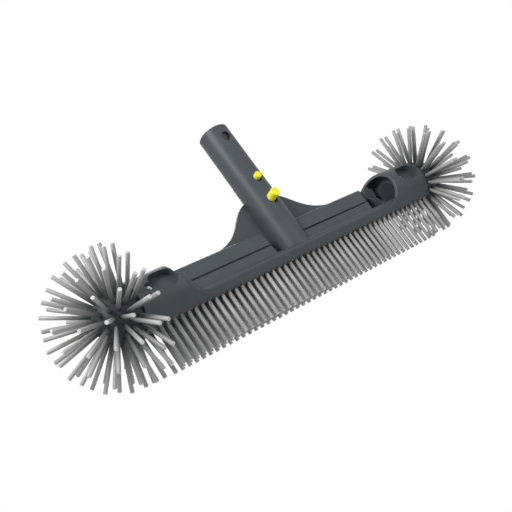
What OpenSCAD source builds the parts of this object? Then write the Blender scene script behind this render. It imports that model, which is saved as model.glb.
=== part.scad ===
// Pool wall brush: three straight rows of thick bristles, a round bristle head at each
// end, and a hollow spigot with a sprung locking pin that a telescopic pole slides over.
// X runs along the brush, -Y is the front, where the release button is, and +Z points
// up the pole. The lowest bristle tips stand on Z = 0.

/* [Brush] */
// Middle of the brush to the centre of a round end
end_x = 175.4; // [150:0.1:220]
// Centre of a round end to the tips of its bristles
reach = 54.2; // [48:0.1:66]
// Diameter of one bristle
bristle_d = 3.2; // [2:0.1:3.6]

/* [Rows] */
// Spacing of the bristles along a row
pitch = 6.6; // [5.5:0.1:9]
// Spacing of the rows
row_gap = 8.6; // [8.5:0.05:9.5]
// Height of the row tips over the ground
row_lift = 0.3; // [0:0.1:2]
// Round end centre back to the last bristle of an outer row
row_setback = 20.3; // [18:0.1:30]

/* [Base] */
// Round end centre down to the underside of the base
base_drop = 20; // [19:0.1:24]
// Half width of the base at its bands
base_half_w = 13.4; // [13:0.1:16]
// Half width of the base at its underside
base_under_w = 11.1; // [11:0.1:12.8]
// Radius of the rounded front and back bands
band_r = 5.2; // [3:0.1:5.8]

/* [Rail] */
// Middle of the brush to the inner end of the left rail
rail_in_left = 27; // [20:0.5:34]
// Middle of the brush to the inner end of the right rail
rail_in_right = 10; // [8:0.5:34]
// Round end centre back to the outer end of the left rail
rail_setback_left = 65; // [62:0.5:75]
// Round end centre back to the outer end of the right rail
rail_setback_right = 67.5; // [66:0.5:80]
// Height of the rail's top over the round end centre
rail_top = 14.4; // [10:0.1:18]
// Depth of the lengthwise groove in the rail
groove = 1.6; // [0.5:0.1:4]
// Length of the pocket at the front of the right rail's outer end
pocket_l = 16.5; // [6:0.5:18]

/* [Back plate] */
// Front face of the back plate
plate_y = 5.5; // [4:0.1:8]
// Thickness of the back plate
plate_t = 3.5; // [2:0.1:5]
// Rise of the gusset wings over the rail
wing_h = 33.5; // [20:0.5:40]
// Half width of the wings at half their height
wing_w = 36; // [24:0.5:48]

/* [Spigot] */
// Outer diameter, a free fit in a standard pole
spigot_d = 28.2; // [24:0.1:32]
// Wall
spigot_wall = 3.6; // [2.5:0.1:4]
// Distance behind the row centre line
spigot_y = 1.8; // [0:0.1:4]
// Top over the round end centre
spigot_top = 118.5; // [112:0.5:150]
// Inside floor over the round end centre
spigot_floor = 16; // [8:0.5:20]
// Diameter of the cross hole for a bolt
cross_d = 9.6; // [6:0.1:10]
// Cross hole below the top
cross_down = 13.5; // [12:0.1:16]

/* [Housing] */
// Outer diameter
housing_d = 42; // [40:0.5:48]
// Length
housing_l = 46; // [40:0.5:60]
// Wall
housing_wall = 2.7; // [2:0.1:4]
// Depth of the left mouth
mouth_left = 5; // [3:0.5:6]
// Depth of the right mouth
mouth_right = 14; // [8:0.5:15]
// Outer end of the housing back from the round end centre
housing_setback = 11.9; // [10:0.1:14]
// Length of the oblong recess
recess_l = 24; // [18:0.5:25]
// Width of the oblong recess
recess_w = 17.5; // [12:0.5:18]

/* [Hub] */
// Outer radius of the dome
dome_r = 18.5; // [17:0.1:19]
// Wall of the dome
dome_wall = 3; // [2:0.1:3.2]
// Thickness of the base disc
disc_t = 2.6; // [2:0.1:3]
// Radius of the shank in the housing
shank_r = 10; // [7:0.1:11]
// Length of the shank
shank_l = 30.5; // [28:0.5:34]

/* [Lock] */
// Diameter of the locking pin
pin_d = 6.2; // [5:0.1:7]
// Height of the locking pin over the round end centre
pin_z = 59; // [56:0.5:64]
// How far the locking pin stands out of the spigot
pin_out = 3.8; // [3:0.1:6]
// Diameter of the release button
button_d = 8.2; // [6:0.1:9]
// Height of the release button over the round end centre
button_z = 37; // [34:0.5:42]
// How far the release button stands out of the spigot
button_out = 8.2; // [7:0.1:10]
// Height of the arm's knuckle over the round end centre
knuckle_z = 88.75; // [84:0.25:92]

/* [Fits] */
// Gap round pieces that are pushed together
fit_gap = 0.1; // [0.05:0.01:0.2]
// Gap round pieces that move
move_gap = 0.3; // [0.2:0.05:0.5]
// Radial gap of the knuckle in its socket
knuckle_gap = 0.08; // [0.05:0.01:0.15]

/* [Hidden] */
$fn = 48;
body_grey = "#454b4e";
bristle_grey = "#9a9a9a";
lock_yellow = "#f0ee48";
steel = "#b4b8ba";
eps = 0.01;

bristle_r = bristle_d / 2;
row_half = end_x - row_setback;
row_count = floor(2 * row_half / pitch + 0.01) + 1;
row_tip = row_lift - reach;
band_z = -14;
base_top = band_z + band_r;
base_end = end_x - housing_setback;
strip_head_w = 6;
strip_head_t = 2.2;
strip_stem_t = 3;
strip_end = 2;
rail_out_left = end_x - rail_setback_left;
rail_out_right = end_x - rail_setback_right;
plate_end = end_x - 52;

mouth_x = base_end - housing_l;
mouth_l = [mouth_left, mouth_right];
rim_x = mouth_x - 2.5;
rim_tilt = 19;
rim_turn = 22;
housing_r = housing_d / 2;
housing_lift = 0.6;
plate_back = plate_y + plate_t;
ramp_foot = -11;
ramp_edge = -3;
pocket_front = -8.8;
pocket_back = 0.4;
pocket_lean = 0.6;
web_top = 8.5;
web_reach = 2.5;
mouth_floor = base_top - 4.6;
flare = [[-11, 0.6], [-3.5, 2.3], [0.5, 3.8], [0.5, 0]];
skirt_in = 3;
skirt_flare = 14;
recess_turn = 20;
recess_floor = 14;
recess_from_end = [26.5, 15.5];
screw_turn = 15;
screw_from_end = [12.5, 26];
screw_seat = 15;
screw_head_r = 3;
screw_head_t = 2;
screw_r = 1.6;
screw_tip = 4.5;

seat_depth = 1.5;
hub_x = base_end - seat_depth;
cavity_r = dome_r - dome_wall;
hoop_w = 3.4;
hoop_t = 2.6;
hoop_r = cavity_r - 0.2;
// Each ring: offset of its plane from the dome's centre, tilt, bristle count and turn
RINGS = [[-8.5, 0, 18, 6], [-1.4, 0, 18, 6], [0, 15, 17, 0], [0, 33.6, 15, 6],
         [0, 54, 11, 18.7], [0, 75, 5, 27]];

tube_r = spigot_d / 2;
bore_r = tube_r - spigot_wall;
spigot_step = 0.2;
grip_top = pin_z + pin_d / 2 + 2.4;
pin_r = pin_d / 2;
button_r = button_d / 2;
arm_w = 8;
arm_t = 2.5;
arm_y = -(sqrt(bore_r * bore_r - arm_w * arm_w / 4) - move_gap - 0.2);
arm_back = arm_y + arm_t;
arm_foot = button_z - button_r - 3;
knuckle_r = 2;
hook_r = knuckle_r + knuckle_gap + 1.3;
knuckle_y = arm_y + hook_r - 0.2;
lock_turn = atan(pin_out / (knuckle_z - pin_z));
pin_drop = (tube_r + pin_out + knuckle_y) * sin(lock_turn);
button_drop = (tube_r + button_out + knuckle_y) * sin(lock_turn);
tip_round = 0.8;
holder_w = 11;
holder_t = 3;
holder_back = sqrt(bore_r * bore_r - holder_w * holder_w / 4) - fit_gap;
holder_y = holder_back - holder_t;
holder_top = knuckle_z + knuckle_r + 2.6;
spring_z = (pin_z + button_z) / 2;
spring_r = 2.6;
spring_wire = 0.7;
spring_turns = 5;
post_r = 1.9;
post_l = 1.6;

// Points of an arc in a plane
function arc(cx, cy, r, from, to, steps) =
    [for (i = [0:steps]) let (a = from + (to - from) * i / steps)
        [cx + r * cos(a), cy + r * sin(a)]];

// Extrudes a (y, z) outline along X between two places
module along_x(x0, x1)
    translate([x0, 0, 0]) rotate([90, 0, 90]) linear_extrude(x1 - x0) children();

// A cylinder along X
module rod_x(x0, x1, r)
    translate([x0, 0, 0]) rotate([0, 90, 0]) cylinder(r = r, h = x1 - x0);

// A cylinder along Y
module rod_y(y0, y1, r)
    translate([0, y1, 0]) rotate([90, 0, 0]) cylinder(r = r, h = y1 - y0);

// Copies to the left and to the right
module both_ends() {
    children();
    mirror([1, 0, 0]) children();
}

// Lifts the whole brush so that its lowest tips stand on Z = 0
module lifted() translate([0, 0, reach]) children();

// ---------- brush body ----------

module base_outline() {
    band_y = base_half_w - band_r;
    polygon(concat(
        [[-base_under_w, -base_drop], [base_under_w, -base_drop]],
        arc(band_y, band_z, band_r, 0, 90, 8),
        arc(-band_y, band_z, band_r, 90, 180, 8)));
}

module rail_outline() {
    face_y = -7;
    groove_h = 0.9;
    edge_r = 2.4;
    polygon(concat(
        [[plate_y + eps, band_z], [face_y - 1.4, band_z], [face_y - 1.4, base_top],
         [face_y, -groove_h], [face_y + groove, 0], [face_y, groove_h]],
        arc(face_y + 4.6, rail_top - edge_r, edge_r, 180, 90, 6),
        [[plate_y + eps, rail_top]]));
}

// Upper edge of the back plate: a bell round the spigot that dies out along the rail.
// Near a housing the edge flares up to meet it.
function wing_edge(x) = rail_top + wing_h / (1 + pow(x / wing_w, 4));

module back_plate() {
    step = 4;
    edge = [for (x = [0:step:mouth_x - 13]) [x, wing_edge(x)]];
    rise = [for (p = flare) [mouth_x + p[0], rail_top + p[1]]];
    translate([0, plate_back, 0]) rotate([90, 0, 0]) linear_extrude(plate_t)
        polygon(concat([[0, band_z]], edge, rise,
                       [[plate_end, rail_top], [plate_end, band_z]]));
}

// The pole slides over the upper part, and grips on the slightly thicker lower part
module spigot_outside() {
    chamfer = 1;
    translate([0, spigot_y, band_z])
        cylinder(r = tube_r + spigot_step, h = grip_top - band_z);
    translate([0, spigot_y, grip_top - eps])
        cylinder(r = tube_r, h = spigot_top - chamfer - grip_top + eps);
    translate([0, spigot_y, spigot_top - chamfer])
        cylinder(r1 = tube_r, r2 = tube_r - chamfer, h = chamfer);
}

// Everything that is cut out of the spigot
module spigot_cuts() {
    translate([0, spigot_y, spigot_floor]) cylinder(r = bore_r, h = spigot_top);
    translate([0, spigot_y, spigot_top - cross_down]) rod_y(-housing_r, housing_r, cross_d / 2);
    lock_slot(pin_z, pin_r, pin_drop);
    lock_slot(button_z, button_r, button_drop);
}

// A slot in the front wall, long enough for a piece that swings down as it goes in
module lock_slot(z, r, drop) {
    slot_r = r + move_gap;
    front = spigot_y - tube_r - 1;
    for (dz = [0, -drop]) translate([0, 0, z + dz]) rod_y(front, spigot_y - 2, slot_r);
    side = slot_r - 0.05;
    translate([-side, front, z - drop]) cube([2 * side, spigot_y - 2 - front, drop]);
}

// The shell round one mouth and the solid housing behind it, with its slanted rim
module housing(end) {
    inside = mouth_x + mouth_l[end];
    translate([0, 0, housing_lift]) difference() {
        rod_x(rim_x - 20, base_end, housing_r);
        rod_x(rim_x - 21, inside, housing_r - housing_wall);
        translate([rim_x, 0, 0]) rotate([0, rim_tilt, 0]) rotate([0, 0, rim_turn])
            translate([-60, -40, -50]) cube([60, 80, 100]);
    }
}

// The slanted floor that leads from the left rail into its housing
module left_ramp() along_x(rail_out_left, mouth_x + mouth_left + eps)
    polygon([[ramp_foot, band_z], [ramp_foot, base_top], [ramp_edge, rail_top],
             [plate_back, rail_top], [plate_back, band_z]]);

// The web that slopes from the right rail's end down to the floor of the mouth
module right_web() hull() {
    along_x(rail_out_right - pocket_back, rail_out_right + pocket_lean)
        polygon([[pocket_front, band_z], [pocket_front, base_top + 1],
                 [plate_y, web_top], [plate_back, web_top], [plate_back, band_z]]);
    along_x(mouth_x + web_reach, mouth_x + web_reach + eps)
        polygon([[pocket_front, band_z], [pocket_front, mouth_floor],
                 [plate_back, mouth_floor], [plate_back, band_z]]);
}

// Deepens the right mouth behind the front band, down to its floor
module mouth_cut() {
    end = mouth_x + mouth_right;
    difference() {
        intersection() {
            translate([0, 0, housing_lift])
                rod_x(rail_out_right + pocket_lean, end, housing_r - housing_wall);
            translate([rail_out_right, pocket_front, mouth_floor])
                cube([end - rail_out_right + 1, plate_back - pocket_front, housing_d]);
        }
        right_web();
        back_plate();
    }
}

// One section of the skirt, with its upper corners at (w, z)
module skirt_outline(w, z)
    polygon([[-w, z], [-base_under_w, -base_drop], [base_under_w, -base_drop], [w, z]]);

// Fills the corner between a housing and the base under it, and flares out of the base
module skirt() {
    w = 0.82 * housing_r;
    z = -0.54 * housing_r;
    along_x(mouth_x + skirt_in, base_end) skirt_outline(w, z);
    hull() {
        along_x(mouth_x + skirt_in, mouth_x + skirt_in + 1) skirt_outline(w, z);
        along_x(mouth_x - skirt_flare, mouth_x - skirt_flare + eps)
            skirt_outline(base_half_w - 0.1, band_z);
    }
}

// The deep pocket that mitres the right rail's outer end
module pocket_cut() {
    back = plate_y - 0.5;
    translate([rail_out_right, 0, strip_stem_t + strip_head_t + 2 - base_drop])
        linear_extrude(base_drop + rail_top)
            polygon([[-pocket_l, pocket_front], [-pocket_back, pocket_front],
                     [pocket_lean, back], [-pocket_back, back]]);
}

// The oblong recess in the front of a housing and the screw's seat and hole
module recess_cuts(end) {
    side = end == 0 ? -1 : 1;
    middle = side * (base_end - recess_from_end[end]);
    rotate([-recess_turn, 0, 0]) translate([middle, 0, 0]) for (s = [-1, 1])
        translate([s * (recess_l - recess_w) / 2, 0, 0])
            rod_y(-housing_r - 5, -recess_floor, recess_w / 2);
    rotate([-recess_turn, 0, 0])
        translate([middle - (recess_l - recess_w) / 2, -housing_r - 5, -recess_w / 2])
            cube([recess_l - recess_w, housing_r + 5 - recess_floor, recess_w]);
    screw_place(end) rod_y(-housing_r - 5, -screw_seat, screw_head_r + 0.5);
    screw_place(end) rod_y(-housing_r, -screw_tip, screw_r + fit_gap);
}

// The frame of a hub screw: its axis runs along Y through the axis of the hub
module screw_place(end) {
    side = end == 0 ? -1 : 1;
    translate([side * (base_end - screw_from_end[end]), 0, 0])
        rotate([-screw_turn, 0, 0]) children();
}

// Slot for one bristle strip, wider at its head
module strip_slot(y) {
    half = row_half + strip_end + fit_gap;
    stem = bristle_r + 0.2 + fit_gap;
    head = strip_head_w / 2 + fit_gap;
    top = strip_stem_t + strip_head_t + fit_gap;
    translate([-half, y - stem, -base_drop - 1]) cube([2 * half, 2 * stem, top + 1]);
    translate([-half, y - head, -base_drop + strip_stem_t - fit_gap])
        cube([2 * half, 2 * head, strip_head_t + 2 * fit_gap]);
}

module brush_body() lifted() color(body_grey) difference() {
    union() {
        along_x(-base_end, base_end) base_outline();
        along_x(-rail_out_left, -rail_in_left) rail_outline();
        along_x(rail_in_right, rail_out_right) rail_outline();
        both_ends() {
            back_plate();
            skirt();
        }
        spigot_outside();
        mirror([1, 0, 0]) {
            housing(0);
            left_ramp();
        }
        housing(1);
        right_web();
    }
    spigot_cuts();
    both_ends() {
        rod_x(mouth_x, base_end + 1, shank_r + fit_gap);
        rod_x(hub_x, base_end + 1, dome_r + fit_gap);
    }
    pocket_cut();
    mouth_cut();
    for (end = [0, 1]) recess_cuts(end);
    for (row = [-1, 0, 1]) strip_slot(row * row_gap);
}

// ---------- bristle strips ----------

module bristle_strip(y, shift, count) {
    half = row_half + strip_end;
    stem = bristle_r + 0.2;
    lifted() color(bristle_grey) {
        translate([-half, y - stem, -base_drop]) cube([2 * half, 2 * stem, strip_stem_t]);
        translate([-half, y - strip_head_w / 2, -base_drop + strip_stem_t - eps])
            cube([2 * half, strip_head_w, strip_head_t]);
        for (i = [0:count - 1])
            translate([(i - (row_count - 1) / 2 + shift) * pitch, y, row_tip])
                cylinder(r = bristle_r, h = -row_tip - base_drop + 1, $fn = 8);
    }
}

// ---------- round ends ----------

// One bristle of a ring, from inside the hoop to its tip, in a ring's own frame
module ring_bristles(ring, r, from, to)
    for (i = [0:ring[2] - 1])
        rotate([-ring[3] - i * 360 / ring[2], 0, 0])
            translate([ring[0], 0, 0]) rotate([0, 0, ring[1]])
                rotate([90, 0, 0]) translate([0, 0, from]) cylinder(r = r, h = to - from);

module bristle_ring(i) {
    ring = RINGS[i];
    color(bristle_grey) {
        ring_bristles(ring, bristle_r, hoop_r - hoop_t / 2, reach, $fn = 8);
        translate([ring[0], 0, 0]) rotate([0, 90, 0]) rotate_extrude()
            intersection() {
                rotate(ring[1]) translate([hoop_r - hoop_t, -hoop_w / 2])
                    square([hoop_t, hoop_w]);
                translate([0, -cavity_r]) square([cavity_r, 2 * cavity_r]);
            }
    }
}

module dome_solid(r, from) {
    rod_x(from, 0, r);
    intersection() {
        sphere(r = r);
        translate([-eps, -r, -r]) cube([r + 1, 2 * r, 2 * r]);
    }
}

module hub_dome() color(body_grey) difference() {
    dome_solid(dome_r, hub_x - end_x);
    dome_solid(cavity_r, hub_x - end_x - 1);
    for (ring = RINGS)
        ring_bristles(ring, bristle_r + fit_gap, cavity_r - 3, dome_r + 4, $fn = 16);
}

module hub_base(end) color(body_grey) difference() {
    from = hub_x - end_x;
    union() {
        rod_x(from, from + disc_t, cavity_r - fit_gap);
        rod_x(from - shank_l, from + eps, shank_r);
    }
    translate([-housing_setback - screw_from_end[end], 0, 0]) rotate([-screw_turn, 0, 0])
        rod_y(-housing_r, -screw_tip, screw_r + fit_gap);
}

// Places a piece of a round end at the right end or, mirrored, at the left one
module at_end(end)
    lifted() mirror([end == 0 ? 1 : 0, 0, 0]) translate([end_x, 0, 0]) children();

module hub_screw(end) lifted() color(steel) screw_place(end) difference() {
    union() {
        rod_y(-screw_seat - screw_head_t, -screw_seat, screw_head_r);
        rod_y(-screw_seat - eps, -screw_tip - fit_gap, screw_r);
    }
    for (turn = [0, 90]) rotate([0, turn, 0])
        translate([-2, -screw_seat - screw_head_t - 1, -0.4]) cube([4, 2, 0.8]);
}

// ---------- locking clip ----------

module in_spigot() lifted() translate([0, spigot_y, 0]) children();

module clip_holder() in_spigot() color(lock_yellow) difference() {
    bridge_t = 2.4;
    union() {
        translate([-holder_w / 2, holder_y, spigot_floor])
            cube([holder_w, holder_back - holder_y, holder_top - spigot_floor]);
        translate([-arm_w / 2, knuckle_y, holder_top - bridge_t])
            cube([arm_w, holder_y - knuckle_y + 1, bridge_t]);
        translate([-arm_w / 2, knuckle_y, knuckle_z]) rotate([0, 90, 0])
            cylinder(r = hook_r, h = arm_w);
        translate([0, 0, spring_z]) rod_y(holder_y - post_l, holder_y + 1, post_r);
    }
    translate([-arm_w, knuckle_y, knuckle_z]) rotate([0, 90, 0])
        cylinder(r = knuckle_r + knuckle_gap, h = 2 * arm_w);
    translate([-arm_w, -tube_r, knuckle_z - 8]) cube([2 * arm_w, tube_r + arm_back + 1, 8]);
}

module lock_arm() in_spigot() color(lock_yellow) difference() {
    union() {
        translate([-arm_w / 2, arm_y, arm_foot]) cube([arm_w, arm_t, knuckle_z - arm_foot]);
        translate([-arm_w / 2, knuckle_y, knuckle_z]) rotate([0, 90, 0])
            cylinder(r = knuckle_r, h = arm_w);
    }
    translate([0, 0, pin_z]) rod_y(arm_y - 1, arm_back - 0.5, pin_r / 2 + fit_gap);
    translate([0, 0, button_z]) rod_y(arm_y - 1, arm_back - 0.5, button_r / 2 + fit_gap);
}

// A round stud with a rounded rim and a thinner tail pressed into the arm
module stud(z, r, out) in_spigot() color(lock_yellow) translate([0, 0, z])
    rotate([90, 0, 0]) rotate_extrude() polygon(concat(
        [[0, -arm_back + 0.6], [r / 2, -arm_back + 0.6], [r / 2, -arm_y], [r, -arm_y]],
        arc(r - tip_round, tube_r + out - tip_round, tip_round, 0, 90, 5),
        [[0, tube_r + out]]));

// Points of one ring of the spring's wire
function wire_ring(turn, z) =
    [for (j = [0:5]) let (out = spring_r + spring_wire / 2 * cos(60 * j))
        [out * cos(turn), out * sin(turn), z + spring_wire / 2 * sin(60 * j)]];

// A coil spring between the arm and the holder, round the holder's post
module return_spring() in_spigot() color(steel) {
    from = arm_back + 0.1 + spring_wire / 2;
    rise = holder_y - 0.1 - spring_wire / 2 - from;
    steps = spring_turns * 12;
    points = [for (i = [0:steps]) each wire_ring(30 * i, rise * i / steps)];
    sides = [for (i = [0:steps - 1], j = [0:5]) let (k = (j + 1) % 6)
        [6 * i + j, 6 * i + 6 + j, 6 * i + 6 + k, 6 * i + k]];
    ends = [[for (j = [0:5]) j], [for (j = [5:-1:0]) 6 * steps + j]];
    translate([0, from, spring_z]) rotate([-90, 0, 0])
        polyhedron(points, concat(sides, ends), convexity = 8);
}

brush_body();
bristle_strip(-row_gap, 0, row_count);  // front_bristle_strip
bristle_strip(0, 0.5, row_count - 1);  // middle_bristle_strip
bristle_strip(row_gap, 0, row_count);  // rear_bristle_strip
at_end(0) hub_dome();  // left_hub_dome
at_end(0) hub_base(0);  // left_hub_base
hub_screw(0);  // left_hub_screw
at_end(0) bristle_ring(0);  // left_bristle_ring_1
at_end(0) bristle_ring(1);  // left_bristle_ring_2
at_end(0) bristle_ring(2);  // left_bristle_ring_3
at_end(0) bristle_ring(3);  // left_bristle_ring_4
at_end(0) bristle_ring(4);  // left_bristle_ring_5
at_end(0) bristle_ring(5);  // left_bristle_tip
at_end(1) hub_dome();  // right_hub_dome
at_end(1) hub_base(1);  // right_hub_base
hub_screw(1);  // right_hub_screw
at_end(1) bristle_ring(0);  // right_bristle_ring_1
at_end(1) bristle_ring(1);  // right_bristle_ring_2
at_end(1) bristle_ring(2);  // right_bristle_ring_3
at_end(1) bristle_ring(3);  // right_bristle_ring_4
at_end(1) bristle_ring(4);  // right_bristle_ring_5
at_end(1) bristle_ring(5);  // right_bristle_tip
clip_holder();
lock_arm();
stud(pin_z, pin_r, pin_out);  // locking_pin
stud(button_z, button_r, button_out);  // release_button
return_spring();
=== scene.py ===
import math
import random

import bmesh
import bpy
from mathutils import Matrix, Vector
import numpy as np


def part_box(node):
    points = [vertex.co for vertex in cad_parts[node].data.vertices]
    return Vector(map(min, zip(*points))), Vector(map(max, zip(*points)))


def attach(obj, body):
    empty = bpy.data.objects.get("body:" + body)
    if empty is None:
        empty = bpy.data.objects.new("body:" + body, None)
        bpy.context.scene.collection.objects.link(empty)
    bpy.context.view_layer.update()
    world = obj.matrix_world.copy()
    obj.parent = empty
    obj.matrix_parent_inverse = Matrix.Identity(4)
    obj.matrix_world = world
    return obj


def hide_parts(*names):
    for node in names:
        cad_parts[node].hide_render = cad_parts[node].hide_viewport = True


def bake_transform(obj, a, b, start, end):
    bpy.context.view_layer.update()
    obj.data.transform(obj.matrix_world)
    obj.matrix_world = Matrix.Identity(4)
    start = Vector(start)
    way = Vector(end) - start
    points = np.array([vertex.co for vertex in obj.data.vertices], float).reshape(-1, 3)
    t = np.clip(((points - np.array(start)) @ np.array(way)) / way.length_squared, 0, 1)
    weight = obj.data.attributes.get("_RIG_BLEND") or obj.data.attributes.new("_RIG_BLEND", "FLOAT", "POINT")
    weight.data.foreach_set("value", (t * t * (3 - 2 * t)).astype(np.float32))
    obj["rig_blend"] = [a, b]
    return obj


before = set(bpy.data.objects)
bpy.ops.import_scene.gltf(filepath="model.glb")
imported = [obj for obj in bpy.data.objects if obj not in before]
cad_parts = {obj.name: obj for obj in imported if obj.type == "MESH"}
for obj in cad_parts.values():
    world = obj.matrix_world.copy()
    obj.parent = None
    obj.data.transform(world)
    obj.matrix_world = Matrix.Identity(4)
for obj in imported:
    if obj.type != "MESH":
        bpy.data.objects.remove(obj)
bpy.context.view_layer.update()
MM = 0.001

# Sizes that the brush is built to, the same as the CAD's
END_X = 175.4 * MM  # middle of the brush to the centre of a round end
REACH = 54.2 * MM  # centre of a round end to its bristle tips, and to the ground
BRISTLE_R = 1.6 * MM
PITCH = 6.6 * MM
ROW_GAP = 8.6 * MM
ROW_LIFT = 0.3 * MM  # the straight bristles end this far above the ground
ROW_COUNT = 48
BASE_DROP = 20 * MM  # centre of a round end down to the underside of the base
STRIP_HALF = 157.1 * MM
STEM_HALF = 1.8 * MM
STEM_H = 3 * MM
HEAD_HALF = 3 * MM
HEAD_H = 2.2 * MM
# The hoop that joins the roots of one ring inside the dome
HOOP_R = 15.3 * MM
HOOP_T = 2.6 * MM
HOOP_W = 3.4 * MM
# Each ring: offset of its plane, tilt, bristle count and first turn, in degrees
RINGS = {
    "bristle_ring_1": (-8.5 * MM, 0, 18, 6),
    "bristle_ring_2": (-1.4 * MM, 0, 18, 6),
    "bristle_ring_3": (0, 15, 17, 0),
    "bristle_ring_4": (0, 33.6, 15, 6),
    "bristle_ring_5": (0, 54, 11, 18.7),
    "bristle_tip": (0, 75, 5, 27),
}
SHOULDER_Z = REACH + 64.5 * MM  # the spigot's fine shoulder, above the locking pin
SPRING_Z = REACH + 48 * MM

# Finer shape that only the visual meshes have
BRISTLE_SIDES = 12
TIP_ROUND = 0.35 * MM
ROOT_DEPTH = 1 * MM  # a straight bristle starts this far inside the base
STRIP_ROUND = 0.15 * MM
HOOP_STEPS = 36
WELD = 0.02 * MM
EDGE_ROUND = 0.45 * MM
EDGE_SHORTEST = 0.8 * MM  # shorter edges are left sharp
EDGE_FOLD = math.radians(32)
SHADE_FOLD = math.radians(30)


# ---------- materials ----------


def noise(nodes, links, scale, detail, distortion=0.0):
    """Noise laid out on the piece's own coordinates."""
    place = nodes.new("ShaderNodeTexCoord")
    made = nodes.new("ShaderNodeTexNoise")
    made.inputs["Scale"].default_value = scale
    made.inputs["Detail"].default_value = detail
    made.inputs["Distortion"].default_value = distortion
    links.new(place.outputs["Object"], made.inputs["Vector"])
    return made.outputs["Fac"]


def ranged(nodes, links, value, low, high, start=0.0, end=1.0):
    """Maps a value from start..end to low..high."""
    made = nodes.new("ShaderNodeMapRange")
    made.inputs["From Min"].default_value = start
    made.inputs["From Max"].default_value = end
    made.inputs["To Min"].default_value = low
    made.inputs["To Max"].default_value = high
    links.new(value, made.inputs["Value"])
    return made.outputs["Result"]


def combined(nodes, links, operation, first, second, clamp=False):
    made = nodes.new("ShaderNodeMath")
    made.operation = operation
    made.use_clamp = clamp
    links.new(first, made.inputs[0])
    links.new(second, made.inputs[1])
    return made.outputs["Value"]


def shaded(nodes, links, colour, factor):
    """A colour made lighter or darker."""
    made = nodes.new("ShaderNodeVectorMath")
    made.operation = "SCALE"
    links.new(colour, made.inputs[0])
    links.new(factor, made.inputs["Scale"])
    return made.outputs["Vector"]


def group_socket(group, name, kind, value):
    made = group.interface.new_socket(name=name, in_out="INPUT", socket_type=kind)
    made.default_value = value


def moulded_grain():
    """Node group: the fine spark texture and faint flow marks of moulded plastic."""
    group = bpy.data.node_groups.new("moulded_grain", "ShaderNodeTree")
    group_socket(group, "Base", "NodeSocketColor", (0.06, 0.07, 0.076, 1))
    group_socket(group, "Rough", "NodeSocketFloat", 0.5)
    for name, kind in (
        ("Color", "NodeSocketColor"),
        ("Roughness", "NodeSocketFloat"),
        ("Height", "NodeSocketFloat"),
    ):
        group.interface.new_socket(name=name, in_out="OUTPUT", socket_type=kind)
    nodes, links = group.nodes, group.links
    given = nodes.new("NodeGroupInput")
    out = nodes.new("NodeGroupOutput")
    spark = noise(nodes, links, 1800, 3)
    flow = noise(nodes, links, 38, 4, 0.6)
    tone = ranged(nodes, links, flow, 0.9, 1.12, 0.3, 0.7)
    spread = ranged(nodes, links, flow, -0.08, 0.08)
    colour = shaded(nodes, links, given.outputs["Base"], tone)
    rough = combined(nodes, links, "ADD", given.outputs["Rough"], spread)
    links.new(colour, out.inputs["Color"])
    links.new(rough, out.inputs["Roughness"])
    links.new(spark, out.inputs["Height"])
    return group


def new_material(name):
    material = bpy.data.materials.new(name)
    material.use_nodes = True
    shader = material.node_tree.nodes["Principled BSDF"]
    return material, material.node_tree.nodes, material.node_tree.links, shader


def moulded_plastic(name, base, rough, bump, coat=0.0):
    """Plastic straight from a spark-eroded mould."""
    material, nodes, links, shader = new_material(name)
    grain = nodes.new("ShaderNodeGroup")
    grain.node_tree = GRAIN
    grain.inputs["Base"].default_value = (*base, 1)
    grain.inputs["Rough"].default_value = rough
    relief = nodes.new("ShaderNodeBump")
    relief.inputs["Strength"].default_value = bump
    relief.inputs["Distance"].default_value = 0.05 * MM
    links.new(grain.outputs["Height"], relief.inputs["Height"])
    links.new(grain.outputs["Color"], shader.inputs["Base Color"])
    links.new(grain.outputs["Roughness"], shader.inputs["Roughness"])
    links.new(relief.outputs["Normal"], shader.inputs["Normal"])
    shader.inputs["Specular IOR Level"].default_value = 0.25
    shader.inputs["Coat Weight"].default_value = coat
    shader.inputs["Coat Roughness"].default_value = 0.35
    return material


def nylon_bristle():
    """Drawn grey nylon with painted shade that darkens it towards the root, paler at the cut tip, slightly
    different on each bristle.
    """
    material, nodes, links, shader = new_material("grey_nylon")
    along = nodes.new("ShaderNodeAttribute")
    along.attribute_name = "along"
    lot = nodes.new("ShaderNodeAttribute")
    lot.attribute_name = "lot"
    streak = noise(nodes, links, 420, 2)

    # painted shade: the ramp darkens each bristle towards its root, where the base and the other bristles
    # shade it; the cut tip face is paler
    ramp = nodes.new("ShaderNodeValToRGB")
    ramp.color_ramp.elements[0].position = 0.0
    ramp.color_ramp.elements[0].color = (0.20, 0.20, 0.20, 1)
    ramp.color_ramp.elements[1].position = 1.0
    ramp.color_ramp.elements[1].color = (0.56, 0.56, 0.55, 1)
    for position, value in ((0.35, 0.29), (0.97, 0.35), (0.992, 0.38)):
        stop = ramp.color_ramp.elements.new(position)
        stop.color = (value, value, value * 0.985, 1)
    links.new(along.outputs["Fac"], ramp.inputs["Fac"])

    tone = ranged(nodes, links, lot.outputs["Fac"], 0.84, 1.12)
    mottle = ranged(nodes, links, streak, 0.92, 1.08)
    both = combined(nodes, links, "MULTIPLY", tone, mottle)
    colour = shaded(nodes, links, ramp.outputs["Color"], both)
    links.new(colour, shader.inputs["Base Color"])
    rough = ranged(nodes, links, streak, 0.36, 0.56)
    links.new(rough, shader.inputs["Roughness"])
    return material


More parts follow.
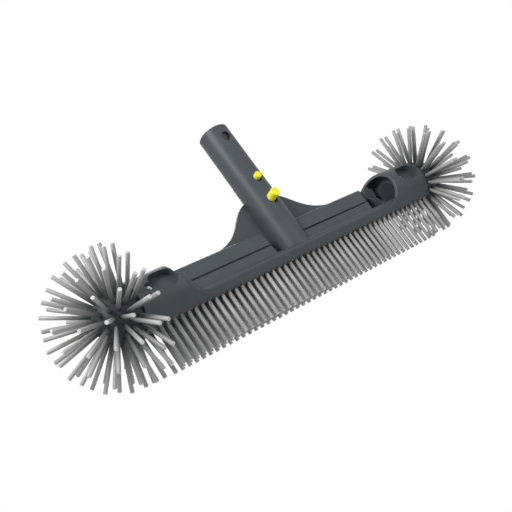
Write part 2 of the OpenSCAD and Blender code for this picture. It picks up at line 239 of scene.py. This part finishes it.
def bright_steel():
    """Bright steel with fine turning marks."""
    material, nodes, links, shader = new_material("zinc_steel")
    marks = noise(nodes, links, 900, 5)
    tint = nodes.new("ShaderNodeValToRGB")
    tint.color_ramp.elements[0].color = (0.42, 0.43, 0.44, 1)
    tint.color_ramp.elements[1].color = (0.62, 0.62, 0.60, 1)
    links.new(marks, tint.inputs["Fac"])
    links.new(tint.outputs["Color"], shader.inputs["Base Color"])
    links.new(ranged(nodes, links, marks, 0.22, 0.5), shader.inputs["Roughness"])
    shader.inputs["Metallic"].default_value = 1.0
    return material


GRAIN = moulded_grain()
SLATE = moulded_plastic("slate_plastic", (0.050, 0.061, 0.068), 0.44, 0.35)
HUB_SLATE = moulded_plastic("hub_plastic", (0.030, 0.036, 0.040), 0.55, 0.4)
STRIP_GREY = moulded_plastic("strip_plastic", (0.17, 0.17, 0.17), 0.5, 0.2)
YELLOW = moulded_plastic("yellow_plastic", (0.86, 0.78, 0.035), 0.36, 0.15, coat=0.3)
NYLON = nylon_bristle()
STEEL = bright_steel()


# ---------- making pieces ----------


def object_from(bm, name, material):
    """Turns a bmesh into an object of the scene."""
    mesh = bpy.data.meshes.new(name)
    bm.to_mesh(mesh)
    bm.free()
    made = bpy.data.objects.new(name, mesh)
    bpy.context.scene.collection.objects.link(made)
    mesh.materials.append(material)
    return made


def finish_piece(bm, name, material, body, *cad_nodes, slot):
    """Makes a piece of the brush that rides on a body and stands for CAD nodes."""
    bm.normal_update()
    piece = object_from(bm, name, material)
    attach(piece, body)
    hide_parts(*cad_nodes)
    return piece


def bristle_bmesh():
    """A bmesh with the two values that the bristle material reads."""
    bm = bmesh.new()
    bm.verts.layers.float.new("along")
    bm.verts.layers.float.new("lot")
    return bm


def bristle_shape(length):
    """One round bristle from z = 0 up to its cut tip, whose rim is broken."""
    tip_z = length - MM / 10
    bm = bristle_bmesh()
    along = bm.verts.layers.float["along"]
    bmesh.ops.create_cone(
        bm, cap_ends=True, segments=BRISTLE_SIDES, radius1=BRISTLE_R, radius2=BRISTLE_R,
        depth=length, matrix=Matrix.Translation((0, 0, length / 2)),
    )
    tip_rim = [e for e in bm.edges if all(v.co.z > tip_z for v in e.verts)]
    bmesh.ops.bevel(bm, geom=tip_rim, offset=TIP_ROUND, segments=1, profile=0.5,
                    affect="EDGES", material=-1)
    for v in bm.verts:
        v[along] = 1.0 if v.co.z > tip_z else v.co.z / length
    for f in bm.faces:
        f.smooth = abs(f.normal.z) < 0.9
    shape = bpy.data.meshes.new("bristle_shape")
    bm.to_mesh(shape)
    bm.free()
    return shape


def plant(bm, shape, root, direction, rng):
    """Adds one bristle to a bmesh, from its root along a direction."""
    lot = bm.verts.layers.float["lot"]
    first = len(bm.verts)
    bm.from_mesh(shape)
    bm.verts.ensure_lookup_table()
    added = bm.verts[first:]
    turn = Vector((0, 0, 1)).rotation_difference(direction).to_matrix().to_4x4()
    bmesh.ops.transform(bm, matrix=Matrix.Translation(root) @ turn, verts=added)
    value = rng.random()
    for v in added:
        v[lot] = value


def box_between(bm, low, high):
    size = Vector(high) - Vector(low)
    middle = (Vector(high) + Vector(low)) / 2
    scale = Matrix.Diagonal((*size, 1))
    bmesh.ops.create_cube(bm, size=1, matrix=Matrix.Translation(middle) @ scale)


def straight_row(name, y, shift, count, seed):
    """A row of bristles and the dark stem that carries it in the base."""
    rng = random.Random(seed)
    root_z = REACH - BASE_DROP + ROOT_DEPTH
    shape = bristle_shape(root_z - ROW_LIFT)
    bm = bristle_bmesh()
    for i in range(count):
        x = (i - (ROW_COUNT - 1) / 2 + shift) * PITCH
        plant(bm, shape, Vector((x, y, root_z)), Vector((0, 0, -1)), rng)
    bpy.data.meshes.remove(shape)
    finish_piece(bm, name + "_bristles", NYLON, "brush", name + "_bristle_strip",
                 slot="bristles")

    bm = bmesh.new()
    low = REACH - BASE_DROP
    box_between(bm, (-STRIP_HALF, y - STEM_HALF, low),
                (STRIP_HALF, y + STEM_HALF, low + STEM_H))
    box_between(bm, (-STRIP_HALF, y - HEAD_HALF, low + STEM_H),
                (STRIP_HALF, y + HEAD_HALF, low + STEM_H + HEAD_H))
    bmesh.ops.bevel(bm, geom=bm.edges[:], offset=STRIP_ROUND, segments=1, profile=0.5,
                    affect="EDGES", material=-1)
    finish_piece(bm, name + "_strip", STRIP_GREY, "brush", name + "_bristle_strip",
                 slot="bristles")


def ring_direction(tilt, turn, side):
    """The way a bristle points: turn goes from the front up, tilt leans it outwards."""
    t, a = math.radians(tilt), math.radians(turn)
    return Vector((
        side * math.sin(t), -math.cos(t) * math.cos(a), math.cos(t) * math.sin(a)
    ))


def bristle_ring(side_name, side, ring_name, seed):
    """One ring of bristles at a round end, and the hoop that holds their roots."""
    offset, tilt, count, first_turn = RINGS[ring_name]
    rng = random.Random(seed)
    start = HOOP_R - HOOP_T / 2
    shape = bristle_shape(REACH - start)
    centre = Vector((side * (END_X + offset), 0, REACH))
    node = f"{side_name}_{ring_name}"
    bm = bristle_bmesh()
    for i in range(count):
        way = ring_direction(tilt, first_turn + i * 360 / count, side)
        plant(bm, shape, centre + way * start, way, rng)
    bpy.data.meshes.remove(shape)
    finish_piece(bm, node + "_bristles", NYLON, "brush", node, slot="bristles")

    bm = bmesh.new()
    lean = math.radians(tilt)
    outwards = Vector((side * math.sin(lean), -math.cos(lean), 0))
    across = Vector((side * math.cos(lean), math.sin(lean), 0))
    section = []
    for r, w in ((-1, -1), (0, -1), (0, 1), (-1, 1)):
        place = centre + outwards * (HOOP_R + r * HOOP_T) + across * (w * HOOP_W / 2)
        section.append(bm.verts.new(place))
    edges = [bm.edges.new((section[i], section[(i + 1) % 4])) for i in range(4)]
    bmesh.ops.spin(bm, geom=section + edges, cent=centre, axis=(1, 0, 0),
                   angle=2 * math.pi, steps=HOOP_STEPS, use_merge=True)
    bmesh.ops.recalc_face_normals(bm, faces=bm.faces[:])
    finish_piece(bm, node + "_hoop", HUB_SLATE, "brush", node, slot="bristles")


def on_shoulder(edge):
    """True on the hair-fine shoulder round the spigot, which stays as it is."""
    return all(abs(v.co.z - SHOULDER_Z) < 0.3 * MM for v in edge.verts)


def rounded_body():
    """The moulded body, with the small radius of a real mould on its sharp edges."""
    bm = bmesh.new()
    bm.from_mesh(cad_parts["brush_body"].data)
    bmesh.ops.remove_doubles(bm, verts=bm.verts[:], dist=WELD)
    bmesh.ops.dissolve_degenerate(bm, edges=bm.edges[:], dist=WELD)
    edges = [
        e for e in bm.edges
        if len(e.link_faces) == 2 and e.calc_face_angle(0) > EDGE_FOLD
        and e.calc_length() > EDGE_SHORTEST and not on_shoulder(e)
    ]
    bmesh.ops.bevel(bm, geom=edges, offset=EDGE_ROUND, segments=2, profile=0.5,
                    affect="EDGES", material=-1, clamp_overlap=False)
    for f in bm.faces:
        f.smooth = True
    for e in bm.edges:
        folded = len(e.link_faces) == 2 and e.calc_face_angle(0) > SHADE_FOLD
        e.smooth = not folded or on_shoulder(e)
    piece = finish_piece(bm, "moulded_body", SLATE, "brush", "brush_body", slot="body")
    weights = piece.modifiers.new("even_shading", "WEIGHTED_NORMAL")
    weights.keep_sharp = True


def coil_spring():
    """The return spring, which shortens between the arm and its holder."""
    low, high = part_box("return_spring")
    wire_r, wire_sides, coil_r, turns, per_turn = 0.35 * MM, 10, 2.6 * MM, 5, 24
    bm = bmesh.new()
    start = Vector((coil_r, low.y + wire_r, SPRING_Z))
    bmesh.ops.create_circle(
        bm, cap_ends=False, segments=wire_sides, radius=wire_r,
        matrix=Matrix.Translation(start),
    )
    rise = (high.y - low.y - 2 * wire_r) / (turns * per_turn)
    bmesh.ops.spin(
        bm, geom=bm.verts[:] + bm.edges[:], cent=(0, 0, SPRING_Z), axis=(0, 1, 0),
        dvec=(0, rise, 0), angle=2 * math.pi * turns, steps=turns * per_turn,
    )
    bmesh.ops.holes_fill(bm, edges=[e for e in bm.edges if e.is_boundary], sides=0)
    bmesh.ops.recalc_face_normals(bm, faces=bm.faces[:])
    for f in bm.faces:
        f.smooth = len(f.verts) == 4
    spring = object_from(bm, "coil_spring", STEEL)
    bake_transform(spring, "lock", "brush", (0, low.y, SPRING_Z), (0, high.y, SPRING_Z))
    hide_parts("return_spring")


def finish_cad_node(name, material):
    """Shows a CAD node's own mesh in a material."""
    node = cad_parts[name]
    node.data.materials.clear()
    node.data.materials.append(material)


# ---------- the brush ----------

rounded_body()
straight_row("front", -ROW_GAP, 0, ROW_COUNT, 11)
straight_row("middle", 0, 0.5, ROW_COUNT - 1, 12)
straight_row("rear", ROW_GAP, 0, ROW_COUNT, 13)
for side_name, side in (("left", -1), ("right", 1)):
    for number, ring_name in enumerate(RINGS):
        bristle_ring(side_name, side, ring_name, 20 + 10 * side + number)
    finish_cad_node(side_name + "_hub_dome", HUB_SLATE)
    finish_cad_node(side_name + "_hub_base", HUB_SLATE)
    finish_cad_node(side_name + "_hub_screw", STEEL)
for name in ("clip_holder", "lock_arm", "locking_pin", "release_button"):
    finish_cad_node(name, YELLOW)
coil_spring()


# ---------- studio ----------


def shown_white(nodes, links, real, white, out):
    """Shows white to the camera, reflections and glass, and lights with the real shader."""
    path = nodes.new("ShaderNodeLightPath")
    seen = path.outputs["Is Camera Ray"]
    for ray in ("Is Glossy Ray", "Is Transmission Ray"):
        seen = combined(nodes, links, "ADD", seen, path.outputs[ray], clamp=True)
    mix = nodes.new("ShaderNodeMixShader")
    links.new(seen, mix.inputs["Fac"])
    links.new(real, mix.inputs[1])
    links.new(white, mix.inputs[2])
    links.new(mix.outputs["Shader"], out.inputs["Surface"])


def white_world():
    """Soft even light behind a plain white that the camera and reflections see."""
    world = bpy.data.worlds.new("studio")
    bpy.context.scene.world = world
    world.use_nodes = True
    nodes, links = world.node_tree.nodes, world.node_tree.links
    nodes.clear()
    fill = nodes.new("ShaderNodeBackground")
    fill.inputs["Color"].default_value = (0.95, 0.97, 1.0, 1)
    fill.inputs["Strength"].default_value = 0.34
    white = nodes.new("ShaderNodeBackground")
    white.inputs["Color"].default_value = (1, 1, 1, 1)
    white.inputs["Strength"].default_value = 1.0
    out = nodes.new("ShaderNodeOutputWorld")
    shown_white(nodes, links, fill.outputs["Background"], white.outputs["Background"], out)


def pale_floor():
    """A plain floor well under the brush, so that the low camera looks over it."""
    bm = bmesh.new()
    bmesh.ops.create_grid(bm, x_segments=1, y_segments=1, size=6,
                          matrix=Matrix.Translation((0, 0, -0.6)))
    material, nodes, links, shader = new_material("floor")
    shader.inputs["Base Color"].default_value = (0.9, 0.9, 0.9, 1)
    shader.inputs["Roughness"].default_value = 0.8
    white = nodes.new("ShaderNodeEmission")
    white.inputs["Strength"].default_value = 1.0
    shown_white(nodes, links, shader.outputs["BSDF"], white.outputs["Emission"],
                nodes["Material Output"])
    floor = object_from(bm, "floor", material)


def area_lamp(name, place, size, power):
    """A round lamp that faces the middle of the brush."""
    light = bpy.data.lights.new(name, "AREA")
    light.shape = "DISK"
    light.size = size
    light.energy = power
    lamp = bpy.data.objects.new(name, light)
    bpy.context.scene.collection.objects.link(lamp)
    lamp.location = place
    aim = Vector((0, 0, 0.07)) - Vector(place)
    lamp.rotation_euler = aim.to_track_quat("-Z", "Y").to_euler()


def low_camera():
    """A camera low at the left front, which looks up along the brush."""
    camera = bpy.data.cameras.new("camera")
    camera.lens = 56.4
    camera.sensor_width = 36
    camera.clip_start = 0.01
    seat = bpy.data.objects.new("camera", camera)
    bpy.context.scene.collection.objects.link(seat)
    forward = Vector((0.599, 0.762, 0.246)).normalized()
    right = Vector((0.728, -0.391, -0.563))
    right = (right - right.dot(forward) * forward).normalized()
    up = right.cross(forward)
    turn = Matrix((right, up, -forward)).transposed().to_4x4()
    seat.matrix_world = Matrix.Translation((-0.4299, -0.4949, -0.1067)) @ turn
    bpy.context.scene.camera = seat


white_world()
pale_floor()
area_lamp("key", (-0.85, -0.5, 0.75), 0.45, 14)
area_lamp("fill", (0.4, -1.0, 0.1), 0.9, 2.5)
area_lamp("rim", (0.6, 0.9, 0.8), 0.7, 5)
low_camera()
bpy.context.scene.view_settings.view_transform = "Standard"
